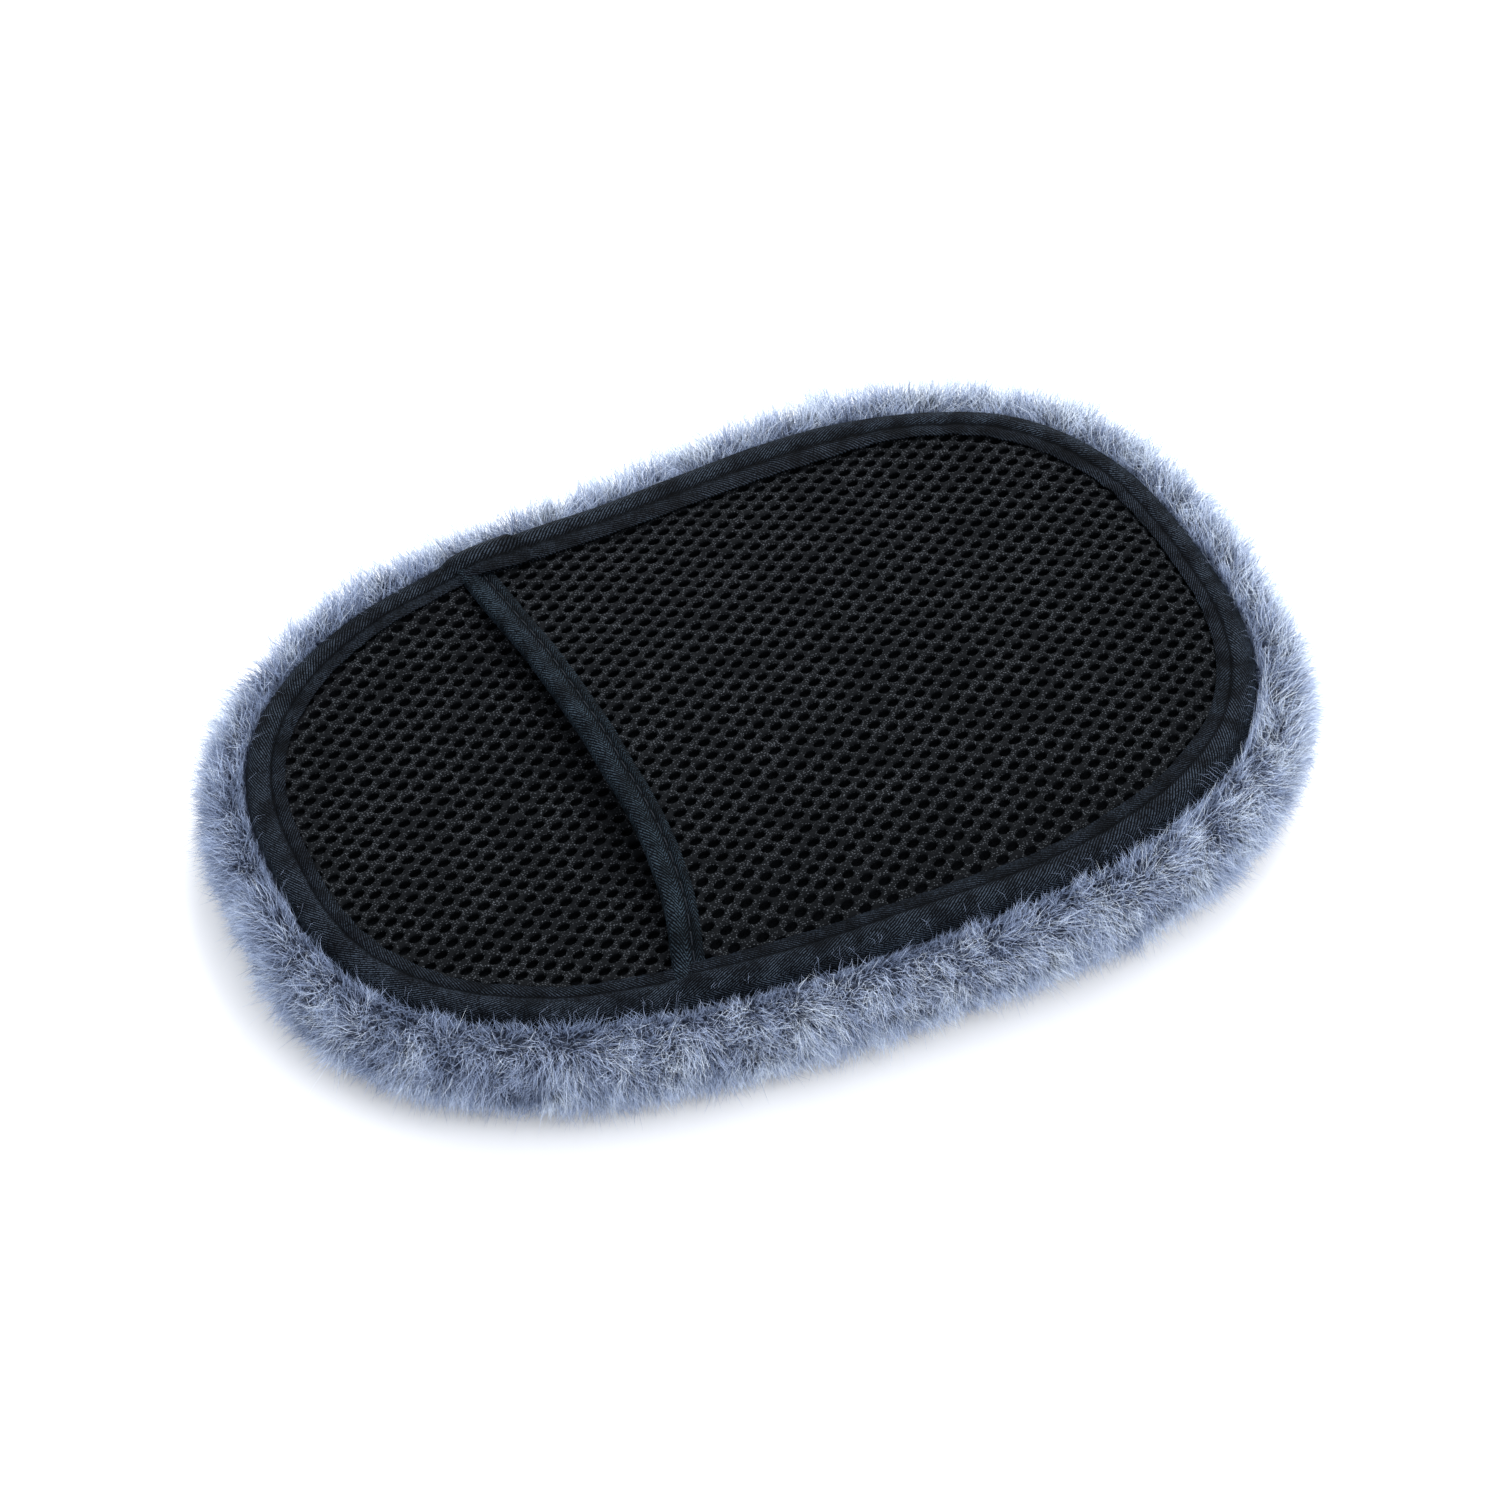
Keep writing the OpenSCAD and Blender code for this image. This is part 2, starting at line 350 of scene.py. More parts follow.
def threadMaterial():
    material, w, feed = newMaterial("sewingThread", Roughness=0.45, Specular_IOR_Level=0.08)
    where = w.node("TexCoord", out=3)
    ply = w.node("TexNoise", None, {"Vector": where, "Scale": 4200.0, "Detail": 2.0})
    feed(Base_Color=ply.between(0.3, 0.7).mix((0.002, 0.003, 0.005), (0.014, 0.018, 0.025)),
         Normal=bumped(w, ply, 0.1 * mm, 0.7))
    return material


def woolMaterial(name):
    # u is the tone of the lock that a fibre belongs to and v runs from its root to its tip; towards the root
    # the fibre is darker, as painted shade deep in the pile
    material, w, feed = newMaterial(name, Roughness=0.75, Specular_IOR_Level=0.3)
    uv = w.node("UVMap", dict(uv_map="OFBake"))
    tone = w.node("SeparateXYZ", None, {0: uv}, out=0)
    up = w.node("SeparateXYZ", None, {0: uv}, out=1)
    shade = w.node("ValToRGB", dict(stops=[
        (0.0, (0.19, 0.245, 0.375)), (0.5, (0.46, 0.55, 0.76)), (1.0, (0.82, 0.90, 0.99))]), {"Fac": tone})
    # painted shade: a fibre is darker towards its root, deep in the pile
    depth = up.between(-0.05, 0.75)
    feed(Base_Color=depth.mix((0.05, 0.07, 0.13), shade), Roughness=0.85 - up * 0.15)
    return material


def coreMaterial():
    material, w, feed = newMaterial("woolCore", Roughness=0.95)
    where = w.node("TexCoord", out=3)
    tuft = w.node("TexVoronoi", dict(feature="F1"), {"Vector": where, "Scale": 420.0})
    fibre = w.node("TexNoise", None, {"Vector": where, "Scale": 1500.0, "Detail": 4.0})
    # the core is dark all over as painted shade, for the wool deep under the fibres; its tufts and fibres
    # vary at random
    feed(Base_Color=(fibre * (1 - tuft)).mix((0.025, 0.034, 0.06), (0.15, 0.185, 0.27)),
         Normal=bumped(w, fibre - tuft, 1.5 * mm, 0.8))
    return material


def hideMaterial():
    material, w, feed = newMaterial("suedeHide", Roughness=0.9, Sheen_Weight=0.2)
    where = w.node("TexCoord", out=3)
    nap = w.node("TexNoise", None, {"Vector": where, "Scale": 900.0, "Detail": 4.0})
    cloud = w.node("TexNoise", None, {"Vector": where, "Scale": 45.0, "Detail": 3.0})
    feed(Base_Color=(nap * 0.5 + cloud * 0.5).mix((0.20, 0.17, 0.14), (0.52, 0.46, 0.38)),
         Normal=bumped(w, nap, 0.2 * mm, 0.6))
    return material


finish = dict(
    mesh=meshMaterial("spacerMesh"),
    edge=tapeMaterial("bindingTape", 5.2 * mm, -2.1 * mm, 1.0 * mm, 1.9, 3.1 * mm, 1,
                      (0.0003, 0.0005, 0.0009), (0.036, 0.049, 0.069)),
    mouth=tapeMaterial("mouthTape", 2.9 * mm, 0.3 * mm, 1.0 * mm, 1.6, mouth["tape"] - mouth["seam"], -1,
                       (0.0003, 0.0006, 0.0010), (0.031, 0.048, 0.066)),
    thread=threadMaterial(),
    wool=woolMaterial("woolFibre"),
    core=coreMaterial(),
    hide=hideMaterial(),
)
print("materials made")

# spacer mesh
weave = dict(
    columnStep=3.45 * mm,  # from one column of holes to the next, along the mitt
    holeStep=4.3 * mm,  # from one hole to the next in a column
    holeLong=1.72 * mm,  # half a hole's length
    holeWide=0.98 * mm,
    holeTurn=0.24,  # how far a hole's length turns from the mitt's, in radians
    thick=2.4 * mm,
    # a cord from its crest to the back knit: share of the way to the hole's rim, height, and painted shade,
    # darker down the hole
    levels=[(0.5, -0.07 * mm, 0.0), (1.0, -0.5 * mm, 0.25), (1.14, -1.8 * mm, 0.9)],
    backShade=0.5,  # painted shade on the back knit, seen down the holes
    edge=4 * mm,  # how far the cloth's edge lies inside the outside of the binding
    squeeze=0.36,  # share of its thickness that the cloth loses at the binding
    squeezeOver=7 * mm,
    ragged=0.1,  # unevenness of the cords' depth
    sway=0.13 * mm,  # how far the cells stray from their rows
    weld=0.02 * mm,
)


def meshCell():
    # one hole with its share of the cords round it, from the crest down to the back knit
    bm = bmesh.new()
    # the depth layer holds painted shade: how much darker a vertex is made as the cord goes down the hole
    depth = bm.verts.layers.float.new("depth")
    across, step = weave["holeStep"] / 2, weave["columnStep"]
    square = (step ** 2 + across ** 2) / 2
    corners = [Vector((square / step, 0)), Vector(((square - across ** 2) / step, across))]
    corners.append(Vector((-corners[1].x, across)))
    corners += [-c for c in corners]
    ring = []
    for start, end in zip(corners, corners[1:] + corners[:1]):
        ring += [start, (start + end) / 2]
    turned = [p @ Matrix.Rotation(weave["holeTurn"], 2) for p in ring]
    turns = [math.atan2(p.y / weave["holeWide"], p.x / weave["holeLong"]) for p in turned]
    rims = [Vector((weave["holeLong"] * math.cos(a), weave["holeWide"] * math.sin(a))) for a in turns]
    rims = [Matrix.Rotation(weave["holeTurn"], 2) @ p for p in rims]
    for v, p in zip(bmesh.ops.create_circle(bm, segments=12, radius=1)["verts"], ring):
        v.co = (p.x, p.y, 0)
    edges, now = list(bm.edges), [p.to_3d() for p in ring]
    for share, height, paintedShade in weave["levels"]:
        made = bmesh.ops.extrude_edge_only(bm, edges=edges)["geom"]
        fresh = vertsOf(made)
        edges = edgesOf(made, fresh)
        onward = [Vector((*p.lerp(rim, share), height)) for p, rim in zip(ring, rims)]
        for v in fresh:
            v.co = onward[min(range(12), key=lambda i: (v.co - now[i]).length)]
            v[depth] = paintedShade
        now = onward
    bmesh.ops.contextual_create(bm, geom=edges)
    for v, p in zip(bmesh.ops.create_circle(bm, segments=12, radius=1, cap_ends=True)["verts"], ring):
        v.co = (p.x, p.y, -weave["thick"])
        v[depth] = weave["backShade"]
    return bm


def squeezed(x, y):
    # the share of its thickness that the cloth keeps
    return 1 - weave["squeeze"] * (1 - smooth(0, weave["squeezeOver"], insetOf(x, y) - lipAt(x, y)))


def meshSheet(name, keep, lift):
    # the cell repeated over the whole pad, cut to the cells that keep says, then laid by lift
    bm = meshCell()
    cell = list(bm.verts) + list(bm.edges) + list(bm.faces)
    twin = bmesh.ops.duplicate(bm, geom=cell)["geom"]
    bmesh.ops.translate(bm, verts=vertsOf(twin), vec=(weave["columnStep"], weave["holeStep"] / 2, 0))
    sheet = fromBmesh(name, bm)
    counts = (2 * int(pad["length"] / weave["columnStep"] / 2) + 1,
              2 * int(pad["width"] / weave["holeStep"]) + 1)
    for axis, (count, step) in enumerate(zip(counts, (2 * weave["columnStep"], weave["holeStep"]))):
        rows = sheet.modifiers.new("rows", "ARRAY")
        rows.count = count
        rows.use_relative_offset, rows.use_constant_offset = False, True
        rows.constant_offset_displace = (step, 0, 0) if axis == 0 else (0, step, 0)
    applied(sheet)
    co = points(sheet.data)
    co[:, 0] -= (counts[0] // 2) * 2 * weave["columnStep"]
    co[:, 1] -= (counts[1] // 2) * weave["holeStep"]
    setPoints(sheet.data, co)
    bm = bmesh.new()
    bm.from_mesh(sheet.data)
    centres = np.array([f.calc_center_median() for f in bm.faces])
    # the hole that each face belongs to
    best, holes = None, None
    for shift in (0, 1):
        column = np.round(centres[:, 0] / weave["columnStep"] / 2 - shift / 2) * 2 + shift
        hole = np.round(centres[:, 1] / weave["holeStep"] - shift / 2) + shift / 2
        place = np.stack([column * weave["columnStep"], hole * weave["holeStep"]], 1)
        away = np.linalg.norm(centres[:, :2] - place, axis=1)
        if best is None:
            best, holes = away, place
        else:
            holes = np.where((away < best)[:, None], place, holes)
    kept = keep(holes[:, 0], holes[:, 1])
    bmesh.ops.delete(bm, geom=[f for f, k in zip(bm.faces, kept) if not k], context="FACES")
    bmesh.ops.remove_doubles(bm, verts=bm.verts, dist=weave["weld"])
    rim = [e for e in bm.edges if e.is_boundary and min(v.co.z for v in e.verts) > -0.01 * mm]
    walls = bmesh.ops.extrude_edge_only(bm, edges=rim)["geom"]
    bmesh.ops.translate(bm, verts=vertsOf(walls), vec=(0, 0, -weave["thick"]))
    bmesh.ops.remove_doubles(bm, verts=bm.verts, dist=weave["weld"])
    bmesh.ops.recalc_face_normals(bm, faces=bm.faces)
    bm.to_mesh(sheet.data)
    bm.free()
    co = points(sheet.data)
    x, y, down = co.T
    pressed = squeezed(x, y)
    under = down < -0.99 * weave["thick"]
    layUv(sheet.data, "OFBake", 0.5 + x / (2.1 * pad["length"]),
          0.25 + 0.5 * under + y / (4.4 * pad["width"]))
    ragged = 1 + weave["ragged"] * ripple(31, 9 * mm, x, y)
    co[:, 0] += weave["sway"] * ripple(32, 14 * mm, x, y)
    co[:, 1] += weave["sway"] * ripple(33, 14 * mm, x, y)
    co[:, 2] = lift(x, y) + down * pressed * np.where(under, 1, ragged)
    setPoints(sheet.data, co)
    sheet.data.shade_smooth()
    sheet.data.set_sharp_from_angle(angle=math.radians(75))
    sheet.data.materials.append(finish["mesh"])
    return sheet


def baseLift(x, y):
    return pad["back"] + lie(x, y)


def pocketLift(x, y):
    # the pocket's top: pressed under the binding at its sides, crowned in the middle
    inward = insetOf(x, y)
    out = smooth(-1.5 * mm, 7 * mm, inward - lipAt(x, y))
    return pad["back"] + lie(x, y) + mouth["above"] + out * mouth["beside"] + crown(x, y)


def inBase(x, y):
    return insetOf(x, y) > weave["edge"]


def inPocket(side):
    # the holes in a row down the middle belong to the near half
    return lambda x, y: inBase(x, y) & (x > mouthEdge(y) + mouth["inTape"]) & (
        (y > 0.1 * mm) if side > 0 else (y < 0.1 * mm))


base = meshSheet("baseMesh", inBase, baseLift)
pocket = [meshSheet(name, inPocket(side), pocketLift)
          for side, name in ((1, "pocketMeshFar"), (-1, "pocketMeshNear"))]
print("spacer mesh made", [len(o.data.polygons) for o in (base, *pocket)])


def cutArea(inset, side=None):
    # the flat area inside an inset, or of the pocket's cloth on one side of its middle
    step = 1 * mm
    x, y = np.meshgrid(np.arange(-pad["length"], pad["length"], step),
                       np.arange(-pad["width"], pad["width"], step))
    within = insetOf(x, y) > inset
    if side:
        within &= (side * y > 0) & (x > mouthEdge(y) + mouth["inTape"])
    return float(within.sum() * step ** 2)


def laidSheet(inset, side=None):
    long, wide = 2 * (pad["length"] - inset), 2 * (pad["width"] - inset) * (1 + pad["egg"] / 2)
    if side:
        long, wide = pad["length"] - inset - mouth["x"], wide / 2
    cutArea(inset, side)


# where the pocket opens
swing = dict(
    body="pad", lifted="pocket",
    seamShare=0.925,  # where the side seam meets the mouth, as a share of the way to the binding
    back=3 * mm,  # how far past the mouth's foremost point the lift starts, at the side seam
    front=9 * mm,  # how far past that point it is whole, beside the middle
    middle=8 * mm,  # how far to the side of the middle it is whole
)
sideSeam = (pad["width"] - pad["lip"]) * swing["seamShare"]


def opens(piece, side):
    # a start at its side seam and an end beside the middle of the mouth, which nothing uses; the piece's
    # placing is baked into its mesh
    start = (mouth["x"] - swing["back"], side * sideSeam, pad["back"])
    end = (mouth["x"] - swing["front"], side * swing["middle"], pad["back"])
    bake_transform(piece)


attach(base, "pad")
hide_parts("base_mesh")
laidSheet(weave["edge"])
for side, piece in zip((1, -1), pocket):
    opens(piece, side)
    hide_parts("pocket_panel", "pocket_seam")
    laidSheet(weave["edge"], side=side)

# tape
binding = dict(
    lip=8.3 * mm,  # width on top of the pad
    under=7.2 * mm,  # width under the pad
    roll=3.2 * mm,  # how far in the rounded outer fold begins
    curve=10.3 * mm,  # length round the fold
    thick=0.55 * mm,
    seat=0.65 * mm,  # from the cloth to the tape's outer face
    layer=mouth["above"],  # the pocket's cloth under the tape
    square=2.3,  # how square the fold is
    groove=0.5 * mm,  # how deep the seam draws the tape in
    grooveWide=0.75 * mm,
    pull=0.25,  # how much deeper again at each stitch
    puff=(0.28 * mm, 3.4 * mm, 1.7 * mm),  # swelling outside the seam: height, inset and spread
    edgeDrop=0.3 * mm,  # how far the tape's inner edge turns down
    ridge=(0.16 * mm, 1.3 * mm, 13.2 * mm),  # ribs along the fold: height, step and place across the tape
    ridgeMiddle=13.4 * mm, ridgeHalf=1.6 * mm,
    wander=0.25 * mm,
    # where the tape's ends overlap, the overlap's length and how far the upper end stands up
    lapX=-31 * mm, lap=12 * mm, lapRise=0.75 * mm,
    stitch=3.2 * mm, gap=0.8 * mm, thread=0.2 * mm,
    step=1.1 * mm, across=44,  # the strip's grid: length of a square, and squares across
)
table = dict(angle=np.linspace(0, 4 * math.pi, 2881))
table["x"], table["y"] = outline(table["angle"], pad["seam"])
table["length"] = np.concatenate([[0], np.cumsum(np.hypot(np.diff(table["x"]), np.diff(table["y"])))])
roundTrip = table["length"][-1] / 2
lapAngle = np.interp(-binding["lapX"], -table["x"][:721], table["angle"][:721])
lapStart = np.interp(lapAngle, table["angle"], table["length"])
binding["wide"] = binding["lip"] + binding["curve"] + binding["under"] - 2 * binding["roll"]
# the seam's place across the tape, on top and below
topAcross = binding["lip"] - pad["seam"]
lowAcross = binding["wide"] - binding["under"] + pad["seam"]


def seamAngle(along):
    # the angle on the oval at a length along the edge seam from the tape's upper end
    return np.interp(lapStart + along, table["length"], table["angle"])


def rimHeights(x, y):
    # the cloth's top and bottom at the pad's edge
    layered = smooth(-4 * mm, 6 * mm, x - mouthEdge(y))
    rise = lie(x, y)
    return pad["back"] + rise + binding["layer"] * layered, hideBox[0].z + rise


def edgeShape(along, across, lapped):
    # the binding's outer face: across runs from its inner edge on top, over the fold, to its edge below
    roll, lip, curve = binding["roll"], binding["lip"], binding["curve"]
    flat = lip - roll
    angle = np.clip((across - flat) / curve, 0, 1) * math.pi
    inset = np.where(across < flat, lip - across, roll + np.maximum(across - flat - curve, 0))
    bow = np.sin(angle) ** (2 / binding["square"]) * roll
    inset = np.where(angle > 0, np.where(angle < math.pi, roll - bow, inset), inset)
    wayAngle = seamAngle(along)
    seatX, seatY = outline(wayAngle, pad["seam"])
    wider = pad["wider"] / flat * farSide(seatX, seatY)
    inset = np.where(across < flat, roll + (flat - across) * (1 + wider), inset)
    x, y = outline(wayAngle, inset)
    top, low = rimHeights(seatX, seatY)
    top, low = top + binding["seat"], low - binding["seat"]
    half, middle = (top - low) / 2, (top + low) / 2
    level = np.sign(np.cos(angle)) * np.abs(np.cos(angle)) ** (2 / binding["square"])
    bend = np.abs(np.cos(wayAngle)) ** 3
    fromSeam = np.minimum(np.abs(across - topAcross), np.abs(across - lowAcross))
    drawn = np.exp(-(fromSeam / binding["grooveWide"]) ** 2)
    holes = 1 + binding["pull"] * np.cos(2 * math.pi * along / (binding["stitch"] + binding["gap"]))
    height, place, spread = binding["puff"]
    puff = height * np.exp(-((inset - place) / spread) ** 2)
    lift = puff - binding["groove"] * drawn * holes
    free = smooth(1.5 * mm, 8.5 * mm, inset)
    lift = lift + (0.10 + 0.22 * bend) * mm * ripple(41, 6 * mm, along) * (0.3 + free)
    lift = lift + 0.16 * mm * ripple(42, 15 * mm, along, across)
    edge = smooth(1.0 * mm, 0, np.where(angle < math.pi / 2, across, 99)) * binding["edgeDrop"]
    height, ribStep, place = binding["ridge"]
    ridge = height * np.maximum(np.cos((across - place) / ribStep * 2 * math.pi), 0)
    ridge = ridge * (np.abs(across - binding["ridgeMiddle"]) < binding["ridgeHalf"])
    z = middle + half * level + level * lift - edge
    x = x + (np.cos(wayAngle) * lapped * 0.3 + np.cos(wayAngle) * ridge) * np.sin(angle)
    y = y + np.sign(y) * (lapped + ridge) * np.sin(angle)
    z = z + level * lapped
    wander = binding["wander"] * ripple(43, 30 * mm, along)
    y = y - np.sign(seatY) * wander * smooth(4 * mm, 9 * mm, inset)
    return np.stack([x, y, z], 1)


def strip(name, length, width, step, across):
    # a flat strip of tape: x runs along it and y across it
    bm = bmesh.new()
    bmesh.ops.create_grid(bm, x_segments=int(length / step), y_segments=across, size=0.5)
    bmesh.ops.scale(bm, vec=(length, width, 1), verts=bm.verts)
    bmesh.ops.translate(bm, vec=(length / 2, width / 2, 0), verts=bm.verts)
    return fromBmesh(name, bm)


def tapeUv(mesh, along, across, length, width, rows):
    # the strip's own map in metres, and the same strip cut into rows for the bake
    layUv(mesh, "weave", along, across)
    corner = np.empty(len(mesh.loops), dtype=np.int32)
    mesh.loops.foreach_get("vertex_index", corner)
    sides = np.empty(len(mesh.polygons), dtype=np.int32)
    mesh.polygons.foreach_get("loop_total", sides)
    cornerAlong = along[corner] / length * rows
    middle = np.add.reduceat(cornerAlong, np.concatenate([[0], np.cumsum(sides)[:-1]])) / sides
    row = np.repeat(np.clip(np.floor(middle), 0, rows - 1), sides)
    uv = mesh.uv_layers.new(name="OFBake")
    u = 0.01 + 0.98 * (cornerAlong - row)
    v = (row + 0.05 + 0.9 * across[corner] / width) / rows
    uv.data.foreach_set("uv", np.stack([u, v], 1).ravel())


def finishTape(piece, thick, material, inward):
    # the tape's thickness goes on behind the face that its shape gives
    wall = piece.modifiers.new("thickness", "SOLIDIFY")
    wall.thickness, wall.offset = thick, -1 if inward else 1
    applied(piece)
    piece.data.shade_smooth()
    piece.data.set_sharp_from_angle(angle=math.radians(60))
    piece.data.materials.clear()
    piece.data.materials.append(finish[material])
    return piece


def lapLift(along):
    # the tape's upper end stands up where it lies on the lower one
    return binding["lapRise"] * smooth(binding["lap"] + 5 * mm, binding["lap"] + 0.5 * mm, along)


def makeBinding():
    length = roundTrip + binding["lap"]
    width = binding["wide"]
    piece = strip("edgeTape", length, width, binding["step"], binding["across"])
    along, across, _ = points(piece.data).T
    tapeUv(piece.data, along, across, length, width, 10)
    slant = along + 0.25 * (across - width / 2) * smooth(10 * mm, 0, along)
    under = smooth(length - binding["lap"] - 2 * mm, length - binding["lap"], along)
    setPoints(piece.data, edgeShape(slant, across, lapLift(along) - 0.05 * mm * under))
    return finishTape(piece, binding["thick"], "edge", True)


def mouthShape(along, across, side):
    # the tape folded over the mouth: along runs out from the middle, and across runs from below,
    # round the front, to the top
    width, half, front = mouth["width"], mouth["fold"], mouth["front"]
    y = side * along
    back = width - half
    angle = np.clip((across - back) / front, 0, 1) * math.pi
    fold = half * (1 - np.sin(angle) ** mouth["square"])
    away = np.where(angle <= 0, width - across,
                    np.where(angle >= math.pi, half + across - back - front, fold))
    slope = -2 * np.where(y > mouth["peakY"], mouth["curveFar"], mouth["curveNear"]) * (y - mouth["peakY"])
    inX = 1 / np.sqrt(1 + slope ** 2)
    x = mouthEdge(y) + away * inX
    y = y - slope * away * inX
    press = squeezed(x, y)
    surface = pocketLift(np.maximum(x, mouthEdge(y) + 1 * mm), y)
    thick = weave["thick"] * press * 0.92
    level = -np.sign(np.cos(angle)) * np.abs(np.cos(angle)) ** mouth["square"]
    drawn = np.exp(-((away - width + mouth["seam"]) / (0.7 * mm)) ** 2)
    puff = 0.3 * mm * np.exp(-((away - 2.6 * mm) / (1.7 * mm)) ** 2)
    lift = puff - 0.45 * mm * drawn + 0.12 * mm * ripple(51, 7 * mm, along * side, away)
    edge = 0.3 * mm * smooth(1 * mm, 0, width - away)
    z = surface - thick / 2 + level * (thick / 2 + binding["seat"] + lift) - edge * level
    x = x + 0.2 * mm * ripple(52, 24 * mm, y)
    return np.stack([x, y, z], 1)


def makeMouthTape(name, side):
    length, width = mouth["half"], mouth["tape"]
    piece = strip(name, length, width, binding["step"], binding["across"])
    along, across, _ = points(piece.data).T
    tapeUv(piece.data, along * side, across, length, width, 4)
    setPoints(piece.data, mouthShape(along, across, side))
    return finishTape(piece, binding["thick"], "mouth", side < 0)


edgeTape = makeBinding()
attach(edgeTape, "pad")
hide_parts("edge_tape")
roundTrip + binding["lap"]
for side, name in ((1, "mouthTapeFar"), (-1, "mouthTapeNear")):
    piece = makeMouthTape(name, side)
    opens(piece, side)
    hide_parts("mouth_tape")
print("tapes made")


# stitching
def sewn(name, runs, radius, node):
    # a row of stitches, each a list of points whose ends sink into the tape
    curve = bpy.data.curves.new(name, "CURVE")
    curve.dimensions, curve.bevel_depth, curve.bevel_resolution, curve.use_fill_caps = "3D", radius, 1, True
    for run in runs:
        line = curve.splines.new("POLY")
        line.points.add(len(run) - 1)
        for point, place in zip(line.points, run):
            point.co = (*place, 1)
    drawn = newObject(name, curve)
    mesh = bpy.data.meshes.new_from_object(drawn)
    bpy.data.objects.remove(drawn)
    piece = newObject(name, mesh)
    mesh.shade_smooth()
    mesh.materials.append(finish["thread"])
    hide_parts(node)
    return piece


def stitchRuns(shape, first, last, across, sink):
    # shape gives the tape's face at a place along it and across it
    pitch = binding["stitch"] + binding["gap"]
    count = int((last - first) / pitch)
    middle = first + pitch * (np.arange(count) + 0.5)
    share = np.array([-0.5, -0.36, -0.12, 0.12, 0.36, 0.5])
    along = (middle[:, None] + share * binding["stitch"]).ravel()
    spots = shape(along, np.full(len(along), across)).reshape(count, len(share), 3)
    spots[:, :, 2] += sink * np.array([-1.6, 0.4, 0.8, 0.8, 0.4, -1.6]) * binding["thread"]
    return spots


for name, across, sink, node in (("edgeNeedleThread", topAcross, 1, "edge_needle_thread"),
                                 ("edgeBobbinThread", lowAcross, -1, "edge_bobbin_thread")):
    runs = stitchRuns(lambda s, t: edgeShape(s, t, lapLift(s)), 0, roundTrip, across, sink)
    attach(sewn(name, runs, binding["thread"], node), "pad")
mouthSeams = (("mouthNeedleThread", mouth["tape"] - mouth["seam"], 1, "mouth_needle_thread"),
              ("mouthBobbinThread", mouth["seam"], -1, "mouth_bobbin_thread"))
for name, across, sink, node in mouthSeams:
    for side, end in ((1, "Far"), (-1, "Near")):
        # the last stitch stays clear of the side seam
        runs = stitchRuns(lambda s, t: mouthShape(s, t, side), 0, mouth["half"] - 4 * mm, across, sink)
        opens(sewn(name + end, runs, binding["thread"], node), side)
print("stitching made")

# hide and wool
hide = dict(squares=(84, 54), clear=0.05 * mm)  # its grid, and the gap between it and the mesh above


def makeHide():
    bm = bmesh.new()
    bmesh.ops.create_grid(bm, x_segments=hide["squares"][0], y_segments=hide["squares"][1], size=0.5)
    piece = fromBmesh("sheepskinHide", bm)
    co = points(piece.data)
    # the square's rings become the oval's rings
    reach = 2 * np.abs(co[:, :2]).max(1)
    angle = np.arctan2(co[:, 1], co[:, 0])
    edgeX, edgeY = outline(angle, pad["hideInset"])
    x, y = edgeX * reach, edgeY * reach
    setPoints(piece.data, np.stack([x, y, hideBox[1].z - hide["clear"] + lie(x, y)], 1))
    wall = piece.modifiers.new("thickness", "SOLIDIFY")
    wall.thickness, wall.offset = hideBox[1].z - hideBox[0].z, -1
    applied(piece)
    piece.data.shade_smooth()
    piece.data.materials.append(finish["hide"])
    return piece


hidePiece = makeHide()
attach(hidePiece, "pad")
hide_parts("sheepskin_hide")
laidSheet(pad["hideInset"])

fleece = dict(
    seed=7,
    # the woolly body that the fibres stand on: inset from the binding's outside, and height, in mm
    profile=[(9, 25.1), (3, 25.1), (-0.9, 25.9), (-5.0, 24.6), (-7.7, 20), (-8.4, 14), (-6.9, 8.2),
             (-2, 4.9), (9, 3.9), (25, 3.8), (45, 3.8)],
    sides=160,
    perSquareMm=5.4,
    underCover=0.10, topCover=0.75,  # share of the fibres that the underside and the top have
    length=5.2 * mm,
    shoulder=0.45,  # how much longer the fibres are at the pile's shoulder
    fluffAndBacklight=0.42,  # how much longer again they are on the far side and at the closed end; the same share also makes them lighter there, as painted back light
    # how far the body stands out more: closed end, far side, near side
    bulge=(3.0 * mm, 1.6 * mm, -1.0 * mm),
    radius=0.066 * mm,
    # fibres to each clump, and how far a fibre's tip leans to its clump's tip
    clumps=[(80, 0.22), (8, 0.24)],
    crimp=0.75 * mm,  # how far a fibre's tip strays sideways, and its middle by less
    splay=0.45,  # how far a fibre turns from its lean, each way at random
    curl=0.8,
    taper=0.7,  # how much thinner a fibre is near its tip
    ground=1.5 * mm,  # below this height the fibres bend along the ground
    gap=(0.7, 2.6),  # from the binding to the fibres beside it, in mm
    strays=240,  # hairs that lie over the binding
    strayGirth=0.4,
    # a stray hair's middle and tip: inset from the binding's outside and height above it, in mm
    strayPath=[(0.5, 0.7), (2.7, 0.75)],
    reach=(144 * mm, 100 * mm, 36 * mm),  # beyond these distances from the middle the fibres hardly go
)


def bulge(x, y):
    x, y = x / pad["length"], y / pad["width"]
    end, farSide, nearSide = fleece["bulge"]
    return (end * np.clip(x, 0, 1) ** 2 + farSide * np.clip(y, 0, 1) ** 2 + nearSide * np.clip(-y, 0, 1) ** 2)


